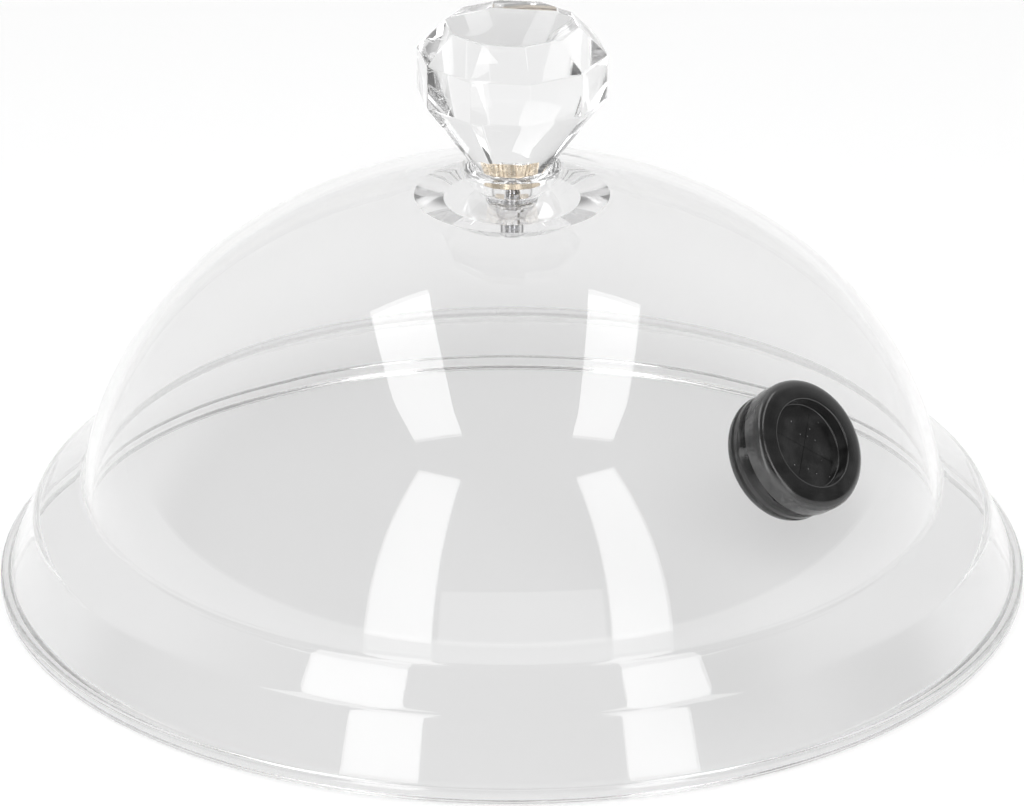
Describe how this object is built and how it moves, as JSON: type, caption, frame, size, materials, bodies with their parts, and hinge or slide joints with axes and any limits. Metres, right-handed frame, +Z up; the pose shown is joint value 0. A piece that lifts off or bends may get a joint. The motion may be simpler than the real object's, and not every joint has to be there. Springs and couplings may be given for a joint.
{
  "type": "smoking cloche",
  "caption": "Clear domed smoking cloche with a stepped rim, a faceted clear knob screwed on top and a black rubber smoke valve with a slit membrane in its side.",
  "frame": {"origin": "centre of the rim's underside, on the surface that the cloche stands on", "axes": "+Z up through the knob; the rubber valve faces -Y"},
  "size_m": [0.26, 0.26, 0.148],
  "materials": {
    "clear_dome": "polished clear plastic",
    "clear_knob": "polished clear acrylic",
    "brass": "machined, knurled",
    "black_rubber": "semi-gloss moulded rubber",
    "bright_steel": "bright turned stainless steel",
    "clear_silicone": "translucent silicone"
  },
  "bodies": {
    "dome": {"dome": "clear_dome", "valve_body": "black_rubber", "knob_screw": "bright_steel", "steel_washer": "bright_steel", "inner_washer": "clear_silicone"},
    "gasket": {"knob_gasket": "clear_silicone"},
    "knob": {"knob": "clear_knob", "knob_insert": "brass"},
    "flap_1": {"valve_flap_1": "black_rubber"},
    "flap_2": {"valve_flap_2": "black_rubber"},
    "flap_3": {"valve_flap_3": "black_rubber"},
    "flap_4": {"valve_flap_4": "black_rubber"}
  },
  "joints": [
    {"name": "knob_lift", "type": "slide", "parent": "dome", "child": "gasket", "axis": [0, 0, 1], "range_m": [0, 0.0065]},
    {"name": "knob_unscrew", "type": "hinge", "parent": "gasket", "child": "knob", "pos_m": [0, 0, 0.10479], "axis": [0, 0, 1], "range_deg": [0, 3343]},
    {"name": "flap_1_bend", "type": "hinge", "parent": "dome", "child": "flap_1", "pos_m": [0.0065, -0.09401, 0.06214], "axis": [0, -0.585, -0.8111], "range_deg": [0, 55], "stiffness_Nm_per_rad": 0.002},
    {"name": "flap_2_bend", "type": "hinge", "parent": "dome", "child": "flap_2", "pos_m": [0, -0.09021, 0.06741], "axis": [1, 0, 0], "range_deg": [0, 55], "stiffness_Nm_per_rad": 0.002},
    {"name": "flap_3_bend", "type": "hinge", "parent": "dome", "child": "flap_3", "pos_m": [-0.0065, -0.09401, 0.06214], "axis": [0, 0.585, 0.8111], "range_deg": [0, 55], "stiffness_Nm_per_rad": 0.002},
    {"name": "flap_4_bend", "type": "hinge", "parent": "dome", "child": "flap_4", "pos_m": [0, -0.09782, 0.05687], "axis": [-1, 0, 0], "range_deg": [0, 55], "stiffness_Nm_per_rad": 0.002}
  ],
  "couplings": [
    {"joint": "knob_unscrew", "follows": "knob_lift", "rad_per_m": 8976},
    {"joint": "flap_2_bend", "follows": "flap_1_bend", "ratio": 1},
    {"joint": "flap_3_bend", "follows": "flap_1_bend", "ratio": 1},
    {"joint": "flap_4_bend", "follows": "flap_1_bend", "ratio": 1}
  ]
}
